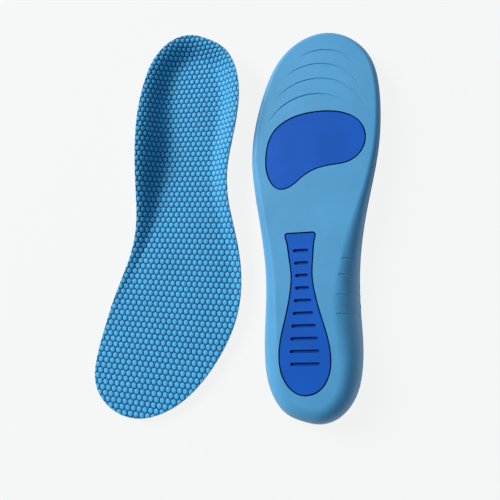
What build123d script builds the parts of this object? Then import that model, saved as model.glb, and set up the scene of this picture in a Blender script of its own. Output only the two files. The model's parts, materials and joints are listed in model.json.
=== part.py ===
"""A pair of cushioned shoe insoles: the left one face up, the right one sole up.

Each insole is a bonded laminate of five pieces: a top cover, a cushion foam layer,
a moulded base, a forefoot gel pad and a heel gel insert. Each insole is drawn with
its heel at y = 0, its toe towards +Y, its inner (big toe) side towards +X and its
sole on z = 0, and is then laid on the ground z = 0.
"""
from build123d import *
import itertools
import os

import numpy as np

# Overall sizes, in millimetres.
LENGTH = 275.0
WIDTH = 90.0
HEEL_THICKNESS = 8.6
TOE_THICKNESS = 5.6
ARCH_RIM = 25.0

# Layers, measured square to the footbed.
COVER_THICKNESS = 1.3
FOAM_THICKNESS = 1.7

# Outer wall: how far the sole edge sits in from the rim, at the heel and at the toe.
# It sits further in where the rim is higher.
WALL_INSET = 13.0
TOE_INSET = 3.5
# Inner slope of the cup: its width as a share of the rim height.
SLOPE_RATIO = 0.9

# Gel pieces. The recess is larger than the piece by the gap, all round.
PAD_DEPTH = 2.0
INSERT_DEPTH = 3.2
GEL_GAP = 0.9
GEL_SETBACK = 0.3
SLOT_COUNT = 10
SLOT_PITCH = 8.6
SLOT_FIRST = 98.8
SLOT_WIDTH = 2.2
SLOT_DEPTH = 2.0
SLOT_SHARE = 0.58

# Moulded grooves.
GROOVE_RADIUS = 0.8
TOE_GROOVE_DEPTH = 0.7
ARCH_GROOVE_DEPTH = 0.4

# How each insole lies. The bow is the sideways curl of the soft forefoot.
LEFT_BOW = -13.5
RIGHT_BOW = 0.0
LEFT_PLACE = (-54.4, -0.7)
LEFT_TURN = 168.6
RIGHT_PLACE = (54.4, 0.7)
RIGHT_TURN = -2.6

# The tables below are drawn for an insole of this width and length.
DRAWN_WIDTH = 90.0
DRAWN_LENGTH = 275.0

# Rim, heel first, then up the inner side and down the outer side. The third value
# is the rim height: 0 level with the footbed, 1 at the top of the arch.
RIM_POINTS = [
    (0.0, 0.0, 0.60),
    (25.5, 11.0, 0.64),
    (34.0, 40.0, 0.74),
    (31.0, 80.0, 1.00),
    (29.8, 110.0, 0.72),
    (33.5, 148.0, 0.24),
    (40.4, 192.0, 0.03),
    (40.4, 225.0, 0.00),
    (28.5, 262.0, 0.00),
    (2.0, 275.0, 0.00),
    (-26.0, 263.0, 0.00),
    (-43.5, 227.0, 0.00),
    (-48.9, 188.0, 0.02),
    (-42.5, 143.0, 0.14),
    (-35.4, 95.0, 0.37),
    (-35.0, 52.0, 0.56),
    (-27.5, 17.0, 0.60),
]

# Recess outlines in the sole, drawn anticlockwise.
PAD_POINTS = [
    (-25.3, 160.7),
    (-18.8, 163.0),
    (-11.0, 169.8),
    (-3.0, 175.0),
    (8.5, 178.2),
    (21.5, 181.3),
    (29.5, 188.8),
    (31.8, 199.5),
    (27.0, 209.8),
    (14.0, 216.3),
    (-4.0, 216.9),
    (-22.0, 212.0),
    (-34.0, 201.5),
    (-38.0, 185.0),
    (-36.0, 170.5),
    (-31.6, 163.4),
]
# Half of the insert: half width, distance up its own axis.
INSERT_FOOT = (-1.8, 20.1)
INSERT_LEAN = 4.7
INSERT_HALF = [
    (11.2, 5.0),
    (15.8, 12.2),
    (18.1, 26.0),
    (15.7, 42.5),
    (12.2, 55.3),
    (8.5, 72.6),
    (7.7, 82.0),
    (8.9, 96.0),
    (10.5, 107.0),
    (10.9, 109.8),
    (10.0, 111.3),
    (8.0, 111.6),
]
INSERT_TOP = 111.6

# Toe grooves: start, middle and end of each arc, from the toe backwards.
TOE_GROOVES = [
    [(-18.1, 255.0), (2.0, 260.7), (23.3, 250.2)],
    [(-26.7, 241.3), (-0.7, 250.7), (27.1, 234.1)],
    [(-34.2, 222.8), (-1.9, 240.1), (31.8, 217.8)],
    [(-37.5, 206.9), (-3.0, 229.0), (18.8, 221.6)],
]
# Arch grooves: how far along the insole each one crosses the inner wall, and the
# angles up the wall, in degrees, of its start, middle and end.
ARCH_GROOVES = [76.5, 89.5, 103.0, 114.0]
ARCH_GROOVE_SPAN = (8, 40, 70)

RIM_SAMPLES = 32
# Steps down the inner slope of the footbed, and steps up the outer wall.
SLOPE_STEPS = (0.14, 0.28, 0.42, 0.56, 0.70, 0.84, 1.0)
WALL_STEPS = (0.85, 0.70, 0.55, 0.40, 0.25, 0.12, 0.0)


def smooth(value):
    """Ease from 0 to 1 as the value goes from 0 to 1."""
    clipped = np.clip(value, 0.0, 1.0)
    return clipped * clipped * (3.0 - 2.0 * clipped)


def at(x, y, bow):
    """Turn a drawn place into a real one, scaled and bowed sideways."""
    along = y / DRAWN_LENGTH
    rise = smooth((along - 0.30) / 0.28)
    fall = np.cos(np.pi / 2 * np.clip((along - 0.62) / 0.38, 0.0, 1.0))
    return x * WIDTH / DRAWN_WIDTH + bow * rise * fall, along * LENGTH


def floor_height(y):
    """Height of the flat middle of the footbed above the sole."""
    return HEEL_THICKNESS + (TOE_THICKNESS - HEEL_THICKNESS) * y / LENGTH


def sample(points, count):
    """Even samples of a closed curve through the points, and their inward normals."""
    edge = Spline(*points, periodic=True)
    samples = np.array([tuple(edge @ (i / count)) for i in range(count)])
    step = np.roll(samples, -1, axis=0) - np.roll(samples, 1, axis=0)
    inward = np.column_stack((-step[:, 1], step[:, 0]))
    after = np.roll(samples, -1, axis=0)
    if (samples[:, 0] * after[:, 1] - samples[:, 1] * after[:, 0]).sum() < 0:
        inward = -inward
    return samples, inward / np.linalg.norm(inward, axis=1)[:, None]


class Shell:
    """The rings that bound the layers of one insole."""

    def __init__(self, bow):
        rim, self.inward = sample([self.rim_point(p, bow) for p in RIM_POINTS], RIM_SAMPLES)
        self.plan = rim[:, :2]
        self.height = np.maximum(rim[:, 2], floor_height(rim[:, 1]))

    @staticmethod
    def rim_point(point, bow):
        x, y = at(point[0], point[1], bow)
        floor = floor_height(y)
        return x, y, floor + point[2] * (ARCH_RIM - floor)

    def rim(self):
        return np.column_stack((self.plan, self.height))

    def bed(self, share, depth):
        """A ring on the footbed's slope, 0 at the rim and 1 at the flat middle.

        Depth moves it down into the laminate, square to the footbed.
        """
        width = SLOPE_RATIO * self.height
        lift = self.height - floor_height(self.plan[:, 1])
        steepness = lift * np.pi / (2 * width) * np.sin(np.pi * share)
        square = np.hypot(1.0, steepness)
        inset = share * width - depth * steepness / square
        plan = self.plan + self.inward * inset[:, None]
        rise = lift * np.cos(np.pi / 2 * share) ** 2
        height = floor_height(plan[:, 1]) + rise - depth / square
        return np.column_stack((plan, height))

    def wall(self, angle):
        """A ring on the outer wall, a quarter ellipse from the sole up to the rim."""
        low = self.height.min()
        heel = self.height[0]
        share = (self.height - low) / (heel - low)
        inset = (TOE_INSET + (WALL_INSET - TOE_INSET) * share) * (1.0 - np.sin(angle))
        plan = self.plan + self.inward * inset[:, None]
        return np.column_stack((plan, self.height * (1.0 - np.cos(angle))))

    def edge(self, depth):
        """The ring on the outer wall at a depth below the rim."""
        return self.wall(np.arccos(depth / self.height))

    def surface(self, depth):
        """The rings of a layer's boundary, from the middle out to the wall."""
        slope = [self.bed(share, depth) for share in reversed(SLOPE_STEPS)]
        return slope + [self.edge(depth)]

    def sole(self, depth):
        """The rings of the outer wall, from a depth below the rim to the sole."""
        top = np.arccos(depth / self.height)
        return [self.wall(top * step) for step in WALL_STEPS]


def ring_solid(rings):
    """The solid inside a run of closed rings that starts and ends on a flat one."""
    wires = [Wire([Spline(*map(tuple, ring), periodic=True)]) for ring in rings]
    return Solid.make_loft(wires, ruled=True)


def layer(shell, top, bottom):
    """The solid between two depths below the footbed."""
    return ring_solid(shell.surface(top) + shell.surface(bottom)[::-1])


def pad_outline(bow):
    """Points around the forefoot pad, a bean."""
    return [at(x, y, bow) for x, y in PAD_POINTS]


def insert_place(across, along, bow):
    """A place on the heel insert, given across and along its own leaning axis."""
    lean = np.radians(INSERT_LEAN)
    x = INSERT_FOOT[0] + across * np.cos(lean) - along * np.sin(lean)
    y = INSERT_FOOT[1] + across * np.sin(lean) + along * np.cos(lean)
    return at(x, y, bow)


def insert_outline(bow):
    """Points around the heel insert: a vase with rounded corners at its top."""
    outer = [insert_place(-half, along, bow) for half, along in reversed(INSERT_HALF)]
    inner = [insert_place(half, along, bow) for half, along in INSERT_HALF]
    foot = insert_place(0.0, 0.0, bow)
    top = insert_place(0.0, INSERT_TOP, bow)
    return [foot, *inner, top, *outer]


def gel_blank(points, depth):
    """A gel piece: it fills a recess but for the gap around it."""
    recess = Spline(*points, periodic=True)
    plan = []
    for x, y in points:
        tangent = recess.tangent_at(Vector(x, y))
        plan.append((x - GEL_GAP * tangent.Y, y + GEL_GAP * tangent.X))
    face = make_face(Spline(*plan, periodic=True))
    return extrude(Pos(0, 0, GEL_SETBACK) * face, depth - GEL_SETBACK, dir=(0, 0, 1))


def slots(bow):
    """The row of slots across the heel insert, from its neck to its foot."""
    alongs = [SLOT_FIRST - i * SLOT_PITCH for i in range(SLOT_COUNT)]
    widths = np.interp(alongs, *zip(*[(along, half) for half, along in INSERT_HALF]))
    cutters = []
    for along, half in zip(alongs, widths):
        length = 2 * SLOT_SHARE * half * WIDTH / DRAWN_WIDTH
        x, y = insert_place(0.0, along, bow)
        shape = Pos(x, y, 0) * Rot(0, 0, INSERT_LEAN) * SlotOverall(length, SLOT_WIDTH)
        cutters.append(extrude(shape, GEL_SETBACK + SLOT_DEPTH, dir=(0, 0, 1)))
    return cutters


def groove(start, middle, end):
    """A round tool swept along an arc through three places."""
    path = ThreePointArc(start, middle, end)
    return sweep(Plane(path @ 0, z_dir=path % 0) * Circle(GROOVE_RADIUS), path=path)


def toe_grooves(bow):
    """Grooves across the toe that run out to nothing at both ends."""
    deep = TOE_GROOVE_DEPTH - GROOVE_RADIUS
    tools = []
    for start, middle, end in TOE_GROOVES:
        ends = [(*at(*place, bow), -GROOVE_RADIUS) for place in (start, end)]
        tools.append(groove(ends[0], (*at(*middle, bow), deep), ends[1]))
    return tools


def inner_wall(shell, angle, y):
    """The place on the inner wall at an angle up it, y along the insole."""
    ring = shell.wall(angle)[: RIM_SAMPLES // 2]
    return np.array((np.interp(y, ring[:, 1], ring[:, 0]), y, np.interp(y, ring[:, 1], ring[:, 2])))


def arch_grooves(shell):
    """Short grooves up the inner wall."""
    sky = GROOVE_RADIUS - ARCH_GROOVE_DEPTH
    tools = []
    for y in ARCH_GROOVES:
        places = []
        for degrees in ARCH_GROOVE_SPAN:
            angle = np.radians(degrees)
            out = np.array((np.sin(angle), 0.0, -np.cos(angle)))
            places.append(tuple(inner_wall(shell, angle, y * LENGTH / DRAWN_LENGTH) + sky * out))
        tools.append(groove(*places))
    return tools


def moulded_base(shell, bow):
    """The moulded shell with its recesses and grooves."""
    depth = COVER_THICKNESS + FOAM_THICKNESS
    base = ring_solid(shell.surface(depth) + shell.sole(depth))
    for points, recess in ((pad_outline(bow), PAD_DEPTH), (insert_outline(bow), INSERT_DEPTH)):
        base -= extrude(make_face(Spline(*points, periodic=True)), recess, dir=(0, 0, 1))
    for tool in toe_grooves(bow) + arch_grooves(shell):
        base -= tool
    return base


def insole(bow):
    """The rings of one insole and its five pieces, drawn with the sole on z = 0."""
    shell = Shell(bow)
    laminate = COVER_THICKNESS + FOAM_THICKNESS
    heel_insert = gel_blank(insert_outline(bow), INSERT_DEPTH)
    for cutter in slots(bow):
        heel_insert -= cutter
    return shell, {
        "top_cover": layer(shell, 0.0, COVER_THICKNESS),
        "cushion_foam": layer(shell, COVER_THICKNESS, laminate),
        "moulded_base": moulded_base(shell, bow),
        "forefoot_gel_pad": gel_blank(pad_outline(bow), PAD_DEPTH),
        "heel_gel_insert": heel_insert,
    }


def rest_plane(shell):
    """The ground plane of an insole turned sole up, found as its three rim supports."""
    rim = shell.rim() * (1.0, 1.0, -1.0)
    middle = np.array((1.0, 0.0, LENGTH / 2))
    best = None
    for trio in itertools.combinations(range(RIM_SAMPLES), 3):
        corners = rim[list(trio)]
        system = np.column_stack((np.ones(3), corners[:, :2]))
        if abs(np.linalg.det(system)) < 1.0:
            continue
        plane = np.linalg.solve(system, corners[:, 2])
        gaps = rim[:, 2] - plane[0] - rim[:, :2] @ plane[1:]
        if gaps.min() > -1e-6 and (best is None or plane @ middle > best @ middle):
            best = plane
    origin = (0.0, LENGTH / 2, best @ middle)
    return Plane(origin, x_dir=(1, 0, best[1]), z_dir=(-best[1], -best[2], 1))


def left_location():
    """Face up, heel away."""
    return Pos(*LEFT_PLACE, 0) * Rot(0, 0, LEFT_TURN) * Pos(0, -LENGTH / 2, 0)


def right_location(shell):
    """Sole up on three points of its rim, toe away."""
    return Pos(*RIGHT_PLACE, 0) * Rot(0, 0, RIGHT_TURN) * rest_plane(shell).location.inverse()


def centring(solids):
    """The move along the ground that centres the solids on the origin."""
    boxes = [solid.bounding_box() for solid in solids]
    low = np.min([tuple(box.min) for box in boxes], axis=0)
    high = np.max([tuple(box.max) for box in boxes], axis=0)
    return Pos(-(low[0] + high[0]) / 2, -(low[1] + high[1]) / 2, 0)


def build_pair():
    """All ten pieces where they lie, centred on the origin."""
    left_shell, left = insole(LEFT_BOW)
    right_shell, right = insole(RIGHT_BOW)
    place = left_location()
    pieces = {f"left_{name}": solid.moved(place) for name, solid in left.items()}
    place = right_location(right_shell)
    for name, solid in right.items():
        pieces[f"right_{name}"] = mirror(solid, about=Plane.XY).moved(place)
    centre = centring(pieces.values())
    return {name: solid.moved(centre) for name, solid in pieces.items()}


def main():
    os.makedirs("parts", exist_ok=True)
    for name, solid in build_pair().items():
        export_step(solid, f"parts/{name}.step")


if __name__ == "__main__":
    main()
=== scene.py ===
"""The looks of a pair of cushioned insoles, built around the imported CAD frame.

Lengths are in metres, in the frame's own axes, and angles are in degrees. Each insole
also has axes of its own: medial, towards the big toe; along, from heel to toe; and up,
out of the footbed.
"""

import json
import math

import bmesh
import bpy
import numpy as np
from mathutils import Matrix, Vector
from mathutils.bvhtree import BVHTree


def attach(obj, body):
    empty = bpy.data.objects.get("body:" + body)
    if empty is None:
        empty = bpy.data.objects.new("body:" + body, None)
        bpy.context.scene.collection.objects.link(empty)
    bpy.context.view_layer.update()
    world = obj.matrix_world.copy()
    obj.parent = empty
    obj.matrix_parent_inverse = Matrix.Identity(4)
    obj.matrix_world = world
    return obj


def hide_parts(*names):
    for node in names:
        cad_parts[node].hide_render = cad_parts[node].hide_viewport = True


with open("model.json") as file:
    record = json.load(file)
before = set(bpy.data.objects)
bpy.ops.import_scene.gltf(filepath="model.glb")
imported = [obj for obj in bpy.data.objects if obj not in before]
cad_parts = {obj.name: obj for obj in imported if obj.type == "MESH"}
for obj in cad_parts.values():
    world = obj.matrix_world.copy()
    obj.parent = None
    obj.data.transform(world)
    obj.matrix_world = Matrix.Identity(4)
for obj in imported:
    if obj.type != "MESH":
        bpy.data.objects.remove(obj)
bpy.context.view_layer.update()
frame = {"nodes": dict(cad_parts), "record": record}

MM = 0.001

# How each insole lies on the ground: the heading of its toe, turned from +Y.
TURNS = {"left": 168.6, "right": -2.6}

# Camera: what it looks at, how far off it stands, how far it leans off plumb, and its
# focal length in millimetres.
CAMERA_TARGET = Vector((0.0098, -0.0164, 0.0))
CAMERA_DISTANCE = 0.48
CAMERA_LEAN_X = 5.4
CAMERA_LEAN_Y = 2.2
CAMERA_LENS = 48.07

# Top cover: its thickness.
COVER_THICKNESS = 1.3 * MM
# Honeycomb: the cells' pitch across the insole at heel and toe, how much longer they
# are along it, and how their rows tilt at heel and toe.
HEEL_PITCH = 3.50 * MM
TOE_PITCH = 4.30 * MM
CELL_STRETCH = 1.10
ROW_TILTS = (-6.5, 5.0)
# The turn of the whole lattice, and how many cells it goes out from the middle.
CELL_ROW_TURN = 8.4
CELL_REACH = 44
# How far a cell's crown stands over the CAD surface, and its groove lies under it.
CELL_CROWN = 0.40 * MM
CELL_GROOVE = 0.45 * MM
# Spots around a cell, and steps in a cell to which the spots it shares are matched.
CELL_SPOTS = 12
MATCH_STEPS = 50
# Rings of a cell, from its groove to its middle: share of the radius, share of the
# crown's height, and the value that colours it. The colour is lighter towards the crown,
# partly as a painted highlight.
CELL_RINGS = ((0.76, 0.45, 0.62), (0.46, 0.90, 1.0))
# The grid that measures the footbed's slopes: its step, and its reach past the spine
# and past the insole's ends.
SLOPE_STEP = 2 * MM
SLOPE_REACH = 64 * MM
# The height over the sole from which rays are dropped on the footbed.
RAY_START = 60 * MM
# How far the spine's ends lie in from the heel and the toe, and the share of that over
# which the outline's middle is taken.
SPINE_HEEL = 32 * MM
SPINE_TOE = 38 * MM
END_SHARE = 1.3
# Halvings in the search for the outline.
BISECTIONS = 16
# Edges shorter than this are dissolved, and vertices nearer than this are joined.
TINY_EDGE = 1e-6
WELD_DISTANCE = 2e-6


def srgb(red, green, blue):
    """A linear colour from 8-bit sRGB values."""
    channels = [value / 255 for value in (red, green, blue)]
    linear = [c / 12.92 if c <= 0.04045 else ((c + 0.055) / 1.055) ** 2.4 for c in channels]
    return (*linear, 1.0)


# The two tones of the cover's knit. The light crown is partly a painted highlight, and the dark
# groove is partly painted shade.
COVER_CROWN_AND_HIGHLIGHT = srgb(86, 190, 240)
COVER_GROOVE_AND_SHADE = srgb(0, 58, 118)
FOAM_COLOUR = srgb(60, 128, 186)
BASE_COLOUR = srgb(82, 156, 200)
GEL_COLOUR = srgb(20, 88, 182)
# Painted shade for the floors and walls of the recesses and slots.
RECESS_SHADE = srgb(14, 70, 150)

# The floor glows, as a light table does, so that shadows on it stay faint.
FLOOR_ALBEDO = 0.06
FLOOR_GLOW = (0.865, 0.875, 0.870, 1.0)
# The dome that the camera sees, and the blue light that comes from all round.
DOME_GLOW = (0.90, 0.915, 0.91, 1.0)
DOME_RADIUS = 12.0
SKY_COLOUR = (0.50, 0.85, 1.15, 1.0)
SKY_STRENGTH = 0.20
# The key light: its place, its side and its power in watts.
KEY_PLACE = (-1.7, 1.0, 1.5)
KEY_SIZE = 1.0
KEY_POWER = 74.0

# Moulded edges around the recesses and on the gel: the most that they are rounded. It
# is less where edges are short, and nearly nothing on the base.
EDGE_RADIUS = {
    "moulded_base": 0.9 * MM,
    "forefoot_gel_pad": 0.5 * MM,
    "heel_gel_insert": 0.3 * MM,
}
EDGE_STEPS = 3
# An edge is rounded if it turns by more than this, within this distance of the sole.
EDGE_ANGLE = 50.0
SOLE_REACH = 0.6 * MM
# Faces that meet at less than this many radians count as flat and are joined first.
FLAT_ANGLE = 0.01
# Faces that meet at less than this shade as one smooth surface.
CREASE_ANGLE = 32.0
# A face of a recess or a slot, which takes the painted shade: a floor at least this
# deep, or a wall at most this deep. The tilts are shares of the up axis in its normal,
# and a floor faces down.
FLOOR_DEPTH = 0.9 * MM
WALL_DEPTH = 3.3 * MM
FLOOR_TILT = -0.99
WALL_TILT = 0.1


# ---------------------------------------------------------------- geometry helpers
class Side:
    """One insole's own axes and its CAD cover, to find places on the footbed."""

    def __init__(self, name):
        mounts = {mount["name"]: mount for mount in frame["record"]["mounts"]}
        sole = mounts[f"{name}_sole"]
        turn = math.radians(TURNS[name])
        heading = Vector((-math.sin(turn), math.cos(turn), 0.0))
        self.name = name
        self.origin = Vector(sole["pos_m"])
        self.up = -Vector(sole["axis"]).normalized()
        self.along = (heading - self.up * heading.dot(self.up)).normalized()
        self.medial = self.along.cross(self.up)
        if name == "right":
            self.medial.negate()
        mesh = frame["nodes"][f"{name}_top_cover"].data
        corners = [vertex.co for vertex in mesh.vertices]
        self.tree = BVHTree.FromPolygons(corners, [face.vertices for face in mesh.polygons])
        self.plan = [self.to_plan(corner) for corner in corners]
        self.ends = (min(p[1] for p in self.plan), max(p[1] for p in self.plan))
        self.heel = self.end_middle(self.ends[0], SPINE_HEEL)
        self.toe = self.end_middle(self.ends[1], -SPINE_TOE)
        self.measure_slopes()

    def to_plan(self, point):
        """How far a point is to the medial side of the sole's middle and along from it."""
        offset = point - self.origin
        return offset.dot(self.medial), offset.dot(self.along)

    def end_middle(self, end, inset):
        """The middle of the outline near one end, as the spine's point there."""
        across = [m for m, a in self.plan if abs(a - end) < abs(inset) * END_SHARE]
        return Vector(((min(across) + max(across)) / 2, end + inset))

    def drop(self, spot):
        """The place and normal on the footbed over a spot in plan, or None outside."""
        start = self.origin + self.medial * spot.x + self.along * spot.y
        place, normal, _, _ = self.tree.ray_cast(start + self.up * RAY_START, -self.up)
        return None if place is None else (place, normal)

    def spine(self, along):
        """How far the spine is to the medial side at a distance along the insole."""
        share = (along - self.heel.y) / (self.toe.y - self.heel.y)
        return self.heel.x + (self.toe.x - self.heel.x) * share

    def lengths(self, spots):
        """Distances over the footbed from the first spot to each; level off the footbed."""
        heights = [hit and (hit[0] - self.origin).dot(self.up) for hit in map(self.drop, spots)]
        total = [0.0]
        for k in range(1, len(spots)):
            rise = 0.0 if None in heights[k - 1:k + 1] else heights[k] - heights[k - 1]
            total.append(total[-1] + math.hypot((spots[k] - spots[k - 1]).length, rise))
        return np.array(total)

    def measure_slopes(self):
        """Tables that turn places on the flat textile, counted in cells, into plan."""
        self.alongs = np.arange(self.ends[0] - SLOPE_REACH, self.ends[1] + SLOPE_REACH, SLOPE_STEP)
        self.pitches = np.interp(self.alongs, self.ends, (HEEL_PITCH, TOE_PITCH))
        middle = self.lengths([Vector((self.spine(along), along)) for along in self.alongs])
        steps = np.diff(middle) / (self.pitches[1:] * CELL_STRETCH)
        cells = np.concatenate(([0.0], np.cumsum(steps)))
        self.cells_along = cells - np.interp(sum(self.ends) / 2, self.alongs, cells)
        self.acrosses = np.arange(-SLOPE_REACH, SLOPE_REACH, SLOPE_STEP)
        self.cells_across = []
        for along, pitch in zip(self.alongs, self.pitches):
            row = self.lengths([Vector((self.spine(along) + x, along)) for x in self.acrosses])
            self.cells_across.append((row - np.interp(0.0, self.acrosses, row)) / pitch)

    def lay(self, spot):
        """The place in plan where a place on the flat textile comes to lie."""
        along = float(np.interp(spot.y, self.cells_along, self.alongs))
        position = (along - self.alongs[0]) / SLOPE_STEP
        row = min(int(position), len(self.alongs) - 2)
        near, far = [float(np.interp(spot.x, self.cells_across[k], self.acrosses))
                     for k in (row, row + 1)]
        across = near + (far - near) * (position - row)
        tilt = math.radians(np.interp(along, self.ends, ROW_TILTS))
        return Vector((self.spine(along) + across, along - across * math.tan(tilt)))

    def to_rim(self, spot):
        """The last spot inside the outline on the way out to a spot beyond it."""
        spine = self.toe - self.heel
        share = (spot - self.heel).dot(spine) / spine.length_squared
        inner = self.heel + spine * min(max(share, 0.0), 1.0)
        outer = spot
        for _ in range(BISECTIONS):
            middle = (inner + outer) / 2
            if self.drop(middle) is None:
                outer = middle
            else:
                inner = middle
        return inner


def new_object(name, mesh):
    """A new object in the scene, with its mesh in place."""
    obj = bpy.data.objects.new(name, mesh)
    bpy.context.scene.collection.objects.link(obj)
    return obj


def smooth_faces(mesh):
    mesh.polygons.foreach_set("use_smooth", [True] * len(mesh.polygons))


# ---------------------------------------------------------------- top cover
def lattice():
    """The middles of the honeycomb's cells on the flat textile, counted in cells."""
    turn = math.radians(CELL_ROW_TURN)
    row = Vector((math.cos(turn), math.sin(turn)))
    column = Vector((-math.sin(turn), math.cos(turn)))
    for j in range(-CELL_REACH, CELL_REACH + 1):
        for i in range(-CELL_REACH, CELL_REACH + 1):
            yield row * (i + 0.5 * (j % 2)) + column * (j * math.sqrt(3) / 2), row, column


def rim_spots(centre, row, column):
    """The spots around a cell's edge: the middles of its sides and its corners."""
    spots = []
    for k in range(CELL_SPOTS):
        angle = math.radians(360 / CELL_SPOTS * k)
        radius = 1 / 2 if k % 2 == 0 else 1 / math.sqrt(3)
        spots.append(centre + (row * math.cos(angle) + column * math.sin(angle)) * radius)
    return spots


class CoverMesh:
    """The vertices and faces of one honeycomb cover, as they are gathered."""

    def __init__(self, side):
        self.side = side
        self.places = []
        self.relief = []
        self.faces = []
        self.shared = {}

    def add(self, place, relief):
        """A new vertex, with the value that colours it, given back as its number."""
        self.places.append(place)
        self.relief.append(relief)
        return len(self.places) - 1

    def raised(self, spot, height, relief):
        """A vertex over a spot inside the outline, or on the rim for one outside."""
        plan = self.side.lay(spot)
        hit = self.side.drop(plan)
        if hit is None:
            return self.add(self.side.drop(self.side.to_rim(plan))[0], relief)
        place, normal = hit
        return self.add(place + normal * height, relief)

    def edge_pair(self, spot):
        """The top and bottom vertices that the cells around an edge spot share."""
        key = (round(spot.x * MATCH_STEPS), round(spot.y * MATCH_STEPS))
        if key not in self.shared:
            plan = self.side.lay(spot)
            hit = self.side.drop(plan)
            inside = hit is not None
            place, normal = hit if inside else self.side.drop(self.side.to_rim(plan))
            down = normal if inside else self.side.up
            top = self.add(place - normal * (CELL_GROOVE if inside else 0.0), 0.0)
            bottom = self.add(place - down * COVER_THICKNESS, 0.0)
            self.shared[key] = (top, bottom)
        return self.shared[key]

    def add_cell(self, centre, row, column):
        """One cell's rounded top and flat bottom, unless it is all outside the outline."""
        spots = rim_spots(centre, row, column)
        if all(self.side.drop(self.side.lay(spot)) is None for spot in (centre, *spots)):
            return
        pairs = [self.edge_pair(spot) for spot in spots]
        ring = [top for top, _ in pairs]
        self.faces.append([bottom for _, bottom in reversed(pairs)])
        for share, rise, relief in CELL_RINGS:
            inner = []
            for spot in spots:
                inner.append(self.raised(centre.lerp(spot, share), CELL_CROWN * rise, relief))
            for k in range(CELL_SPOTS):
                after = (k + 1) % CELL_SPOTS
                self.faces.append([ring[k], ring[after], inner[after], inner[k]])
            ring = inner
        crown = self.raised(centre, CELL_CROWN, 1.0)
        for k in range(CELL_SPOTS):
            self.faces.append([ring[k], ring[(k + 1) % CELL_SPOTS], crown])

    def close_rim(self):
        """Join the top to the bottom along the edges that only one top face uses."""
        partner = dict(self.shared.values())
        used = {}
        for face in self.faces:
            for start, end in zip(face, face[1:] + face[:1]):
                if start in partner and end in partner:
                    key = frozenset((start, end))
                    used[key] = None if key in used else (start, end)
        for edge in used.values():
            if edge is not None:
                start, end = edge
                self.faces.append([end, start, partner[start], partner[end]])


def honeycomb_cover(side):
    """The textile top layer: rounded hexagonal cells over the whole footbed."""
    parts = CoverMesh(side)
    for centre, row, column in lattice():
        parts.add_cell(centre, row, column)
    parts.close_rim()
    mesh = bpy.data.meshes.new(f"{side.name}_honeycomb_cover")
    mesh.from_pydata(parts.places, [], parts.faces)
    relief = mesh.attributes.new("relief", "FLOAT", "POINT")
    relief.data.foreach_set("value", parts.relief)
    work = bmesh.new()
    work.from_mesh(mesh)
    bmesh.ops.dissolve_degenerate(work, dist=TINY_EDGE, edges=work.edges)
    bmesh.ops.recalc_face_normals(work, faces=work.faces)
    # The faces now agree with each other, but may all face inwards.
    if work.calc_volume(signed=True) < 0:
        bmesh.ops.reverse_faces(work, faces=work.faces)
    work.to_mesh(mesh)
    work.free()
    smooth_faces(mesh)
    return new_object(mesh.name, mesh)


# ---------------------------------------------------------------- pieces from the CAD
def near_sole(side, edge):
    """Whether both ends of an edge are close to the sole's plane."""
    return all(abs((v.co - side.origin).dot(side.up)) < SOLE_REACH for v in edge.verts)


def in_shaded_recess(side, face):
    """Whether a face is the floor or wall of a recess or slot in the sole: painted shade goes there.
    """
    depth = (face.calc_center_median() - side.origin).dot(side.up)
    tilt = face.normal.dot(side.up)
    floor = tilt < FLOOR_TILT and depth > FLOOR_DEPTH
    wall = abs(tilt) < WALL_TILT and depth < WALL_DEPTH
    return floor or wall


def round_edges(work, side, radius):
    """Round the crisp edges in the sole: around the recesses, the gel and its slots."""
    bmesh.ops.dissolve_limit(work, angle_limit=FLAT_ANGLE, verts=work.verts, edges=work.edges)
    crisp = [edge for edge in work.edges
             if near_sole(side, edge) and edge.calc_face_angle(0.0) > math.radians(EDGE_ANGLE)]
    bmesh.ops.bevel(work, geom=crisp, offset=radius, segments=EDGE_STEPS, profile=0.5,
                    affect="EDGES", clamp_overlap=True)


def smoothed_copy(side, node, name):
    """A copy of a CAD node that shades smoothly except along its real edges."""
    mesh = frame["nodes"][f"{side.name}_{node}"].data.copy()
    mesh.materials.clear()
    work = bmesh.new()
    work.from_mesh(mesh)
    bmesh.ops.remove_doubles(work, verts=work.verts, dist=WELD_DISTANCE)
    if node in EDGE_RADIUS:
        round_edges(work, side, EDGE_RADIUS[node])
    for edge in work.edges:
        edge.smooth = edge.calc_face_angle(math.pi) < math.radians(CREASE_ANGLE)
    for face in work.faces:
        face.smooth = True
        # Faces deep in the recesses and slots take the second material, a painted shade.
        face.material_index = int(node in EDGE_RADIUS and in_shaded_recess(side, face))
    work.to_mesh(mesh)
    work.free()
    if "custom_normal" in mesh.attributes:
        mesh.attributes.remove(mesh.attributes["custom_normal"])
    obj = new_object(f"{side.name}_{name}", mesh)
    weighted = obj.modifiers.new("weighted_normals", "WEIGHTED_NORMAL")
    weighted.keep_sharp = True
    return obj


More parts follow.
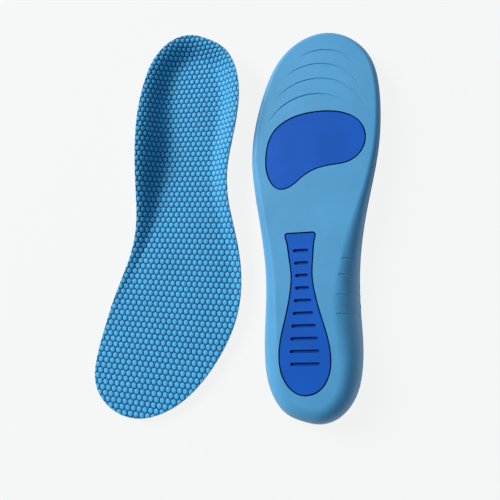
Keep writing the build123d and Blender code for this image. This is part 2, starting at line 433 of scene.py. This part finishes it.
# ---------------------------------------------------------------- materials
class Nodes:
    """A material's node tree with short calls to add and join its nodes."""

    def __init__(self, name):
        self.material = bpy.data.materials.new(name)
        self.material.use_nodes = True
        self.tree = self.material.node_tree
        self.shader = self.tree.nodes["Principled BSDF"]

    def add(self, kind, **values):
        """A new node of a kind, with its own settings."""
        node = self.tree.nodes.new(kind)
        for key, value in values.items():
            setattr(node, key, value)
        return node

    def join(self, output, target):
        self.tree.links.new(output, target)

    def noise(self, scale, detail=3.0, roughness=0.55):
        """Noise in the object's own space, as an output from 0 to 1."""
        node = self.add("ShaderNodeTexNoise")
        node.inputs["Scale"].default_value = scale
        node.inputs["Detail"].default_value = detail
        node.inputs["Roughness"].default_value = roughness
        self.join(self.place(), node.inputs["Vector"])
        return node.outputs["Fac"]

    def place(self):
        """The place in the object's own space, from one node that all the rest share."""
        found = self.tree.nodes.get("place")
        if found is None:
            found = self.add("ShaderNodeTexCoord", name="place")
        return found.outputs["Object"]

    def ramp(self, value, stops):
        """A colour that follows a value, through (value, colour) stops."""
        node = self.add("ShaderNodeValToRGB")
        stack = node.color_ramp.elements
        while len(stack) < len(stops):
            stack.new(0.5)
        for element, (place, colour) in zip(stack, stops):
            element.position = place
            element.color = colour
        self.join(value, node.inputs["Fac"])
        return node.outputs["Color"]

    def multiply(self, first, second):
        """One colour times another."""
        node = self.add("ShaderNodeVectorMath", operation="MULTIPLY")
        self.join(first, node.inputs[0])
        self.join(second, node.inputs[1])
        return node.outputs["Vector"]

    def bump(self, layers):
        """Bump from (height output, distance in metres) layers, one over the other."""
        last = None
        for height, distance in layers:
            node = self.add("ShaderNodeBump")
            node.inputs["Strength"].default_value = 1.0
            node.inputs["Distance"].default_value = distance
            self.join(height, node.inputs["Height"])
            if last is not None:
                self.join(last, node.inputs["Normal"])
            last = node.outputs["Normal"]
        self.join(last, self.shader.inputs["Normal"])

    def set(self, **values):
        """Set the shader's own sockets, with _ for each space in their names."""
        for key, value in values.items():
            self.shader.inputs[key.replace("_", " ")].default_value = value


def shade(colour, factor):
    """A colour made darker or lighter by a factor."""
    return (*[min(channel * factor, 1.0) for channel in colour[:3]], 1.0)


def grey(level):
    """A grey of one level, with full alpha."""
    return (level, level, level, 1.0)


def moulded_material():
    """Satin moulded polymer: even colour with faint clouding, fine grain, soft shine."""
    nodes = Nodes("moulded_polymer")
    cloud = nodes.ramp(nodes.noise(28.0, detail=4.0),
                       [(0.3, shade(BASE_COLOUR, 0.93)), (0.7, shade(BASE_COLOUR, 1.06))])
    nodes.join(cloud, nodes.shader.inputs["Base Color"])
    rough = nodes.ramp(nodes.noise(420.0), [(0.3, grey(0.40)), (0.7, grey(0.52))])
    nodes.join(rough, nodes.shader.inputs["Roughness"])
    nodes.bump([(nodes.noise(2400.0, detail=2.0), 0.03 * MM), (nodes.noise(160.0), 0.06 * MM)])
    nodes.set(Specular_IOR_Level=0.3)
    return nodes.material


def gel_material():
    """Deep blue gel: smooth, with a soft shine."""
    nodes = Nodes("blue_gel")
    cloud = nodes.ramp(nodes.noise(22.0, detail=2.0),
                       [(0.3, shade(GEL_COLOUR, 0.88)), (0.7, shade(GEL_COLOUR, 1.12))])
    nodes.join(cloud, nodes.shader.inputs["Base Color"])
    nodes.bump([(nodes.noise(1500.0, detail=2.0), 0.015 * MM), (nodes.noise(90.0), 0.05 * MM)])
    nodes.set(Roughness=0.5, Specular_IOR_Level=0.14)
    return nodes.material


def recess_shade_material():
    """Painted shade on the floors and walls of the recesses and slots: deep blue, matt, faint
    streaks.
    """
    nodes = Nodes("recess_painted_shade")
    streaks = nodes.noise(900.0)
    colour = nodes.ramp(streaks, [(0.3, shade(RECESS_SHADE, 0.8)), (0.7, shade(RECESS_SHADE, 1.2))])
    nodes.join(colour, nodes.shader.inputs["Base Color"])
    nodes.bump([(streaks, 0.02 * MM)])
    nodes.set(Roughness=0.7, Specular_IOR_Level=0.1)
    return nodes.material


def foam_material():
    """Open-cell foam seen at its trimmed edge: matte, with fine pores."""
    nodes = Nodes("cushion_foam")
    pores = nodes.noise(2600.0, roughness=0.7)
    colour = nodes.ramp(pores, [(0.35, shade(FOAM_COLOUR, 0.7)), (0.6, FOAM_COLOUR)])
    nodes.join(colour, nodes.shader.inputs["Base Color"])
    nodes.bump([(pores, 0.12 * MM)])
    nodes.set(Roughness=0.85)
    return nodes.material


def cover_material():
    """Knitted cover: light crowns, deep grooves and a fine weave on the yarn's scale.
    The crowns' lightness is partly a painted highlight, the grooves' darkness partly painted shade.
    """
    nodes = Nodes("honeycomb_textile")
    relief = nodes.add("ShaderNodeAttribute", attribute_name="relief").outputs["Fac"]
    # Dark in the grooves and light on the crowns: the knit's two tones, partly painted shade and
    # painted highlight.
    tone = nodes.ramp(relief, [(0.0, COVER_GROOVE_AND_SHADE), (0.2, COVER_GROOVE_AND_SHADE),
                               (0.6, shade(COVER_CROWN_AND_HIGHLIGHT, 0.85)), (1.0, COVER_CROWN_AND_HIGHLIGHT)])
    mottle = nodes.ramp(nodes.noise(60.0, detail=4.0), [(0.3, grey(0.9)), (0.7, grey(1.0))])
    nodes.join(nodes.multiply(tone, mottle), nodes.shader.inputs["Base Color"])
    weave = nodes.add("ShaderNodeTexWave", wave_type="BANDS", bands_direction="DIAGONAL")
    weave.inputs["Scale"].default_value = 520.0
    weave.inputs["Distortion"].default_value = 2.0
    nodes.join(nodes.place(), weave.inputs["Vector"])
    nodes.bump([(weave.outputs["Fac"], 0.04 * MM), (nodes.noise(3000.0), 0.04 * MM)])
    nodes.set(Roughness=0.65, Specular_IOR_Level=0.3)
    return nodes.material


def studio_material(name, albedo, glow):
    """A matt surface that also glows."""
    nodes = Nodes(name)
    nodes.set(Base_Color=grey(albedo), Roughness=0.9, Specular_IOR_Level=0.0)
    nodes.set(Emission_Color=glow, Emission_Strength=1.0)
    return nodes.material


# ---------------------------------------------------------------- the studio
def build_backdrop():
    """A pale floor and, for the camera alone, a pale dome behind it."""
    bpy.ops.mesh.primitive_plane_add(size=2 * DOME_RADIUS, location=(0.0, 0.0, -CELL_CROWN))
    floor = bpy.context.object
    floor.name = "studio_floor"
    floor.data.materials.append(studio_material("studio_floor", FLOOR_ALBEDO, FLOOR_GLOW))
    bpy.ops.mesh.primitive_uv_sphere_add(radius=DOME_RADIUS)
    dome = bpy.context.object
    dome.name = "studio_dome"
    dome.data.materials.append(studio_material("studio_dome", 0.0, DOME_GLOW))
    dome.visible_diffuse = False
    dome.visible_glossy = False
    dome.visible_shadow = False


def build_lights():
    """One soft key light from the left, behind and above, and faint light all round."""
    key = bpy.data.objects.new("key", bpy.data.lights.new("key", "AREA"))
    key.data.size = KEY_SIZE
    key.data.energy = KEY_POWER
    key.location = KEY_PLACE
    key.rotation_euler = (-Vector(KEY_PLACE)).to_track_quat("-Z", "Y").to_euler()
    bpy.context.scene.collection.objects.link(key)
    world = bpy.data.worlds.new("studio_air")
    world.use_nodes = True
    background = world.node_tree.nodes["Background"]
    background.inputs["Color"].default_value = SKY_COLOUR
    background.inputs["Strength"].default_value = SKY_STRENGTH
    bpy.context.scene.world = world
    bpy.context.scene.view_settings.view_transform = "Standard"


def build_camera():
    """A camera almost straight above, leaning a little to the right and the front."""
    lean_x = math.sin(math.radians(CAMERA_LEAN_X))
    lean_y = -math.sin(math.radians(CAMERA_LEAN_Y))
    back = Vector((lean_x, lean_y, math.sqrt(1 - lean_x**2 - lean_y**2)))
    right = Vector((0.0, 1.0, 0.0)).cross(back).normalized()
    up = back.cross(right)
    camera = bpy.data.objects.new("camera", bpy.data.cameras.new("camera"))
    camera.data.lens = CAMERA_LENS
    place = CAMERA_TARGET + back * CAMERA_DISTANCE
    turn = Matrix((right, up, back)).transposed().to_4x4()
    camera.matrix_world = Matrix.Translation(place) @ turn
    bpy.context.scene.collection.objects.link(camera)
    bpy.context.scene.camera = camera


# ---------------------------------------------------------------- the pair
def put(obj, body, node, slot, *materials):
    """Give a new piece its materials and its body, and hide the CAD node that it stands for."""
    for material in materials:
        obj.data.materials.append(material)
    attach(obj, body)
    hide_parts(node)


def build_insole(name, materials):
    """The five pieces of one insole, each riding on its body."""
    body = f"{name}_insole"
    side = Side(name)
    cover = honeycomb_cover(side)
    put(cover, body, f"{name}_top_cover", "cover", materials["cover"])
    foam = smoothed_copy(side, "cushion_foam", "foam_layer")
    put(foam, body, f"{name}_cushion_foam", "foam", materials["foam"])
    base = smoothed_copy(side, "moulded_base", "base_shell")
    # The base's second material paints shade into its recesses.
    put(base, body, f"{name}_moulded_base", "base", materials["base"], materials["recess"])
    for node, piece in (("forefoot_gel_pad", "ball_pad"), ("heel_gel_insert", "heel_insert")):
        gel = smoothed_copy(side, node, piece)
        # The gel's second material paints shade into its slots and recessed faces.
        put(gel, body, f"{name}_{node}", "gel", materials["gel"], materials["recess"])


finishes = {
    "cover": cover_material(),
    "foam": foam_material(),
    "base": moulded_material(),
    "gel": gel_material(),
    # Painted shade for the recesses and slots.
    "recess": recess_shade_material(),
}
for insole in TURNS:
    build_insole(insole, finishes)
build_backdrop()
build_lights()
build_camera()
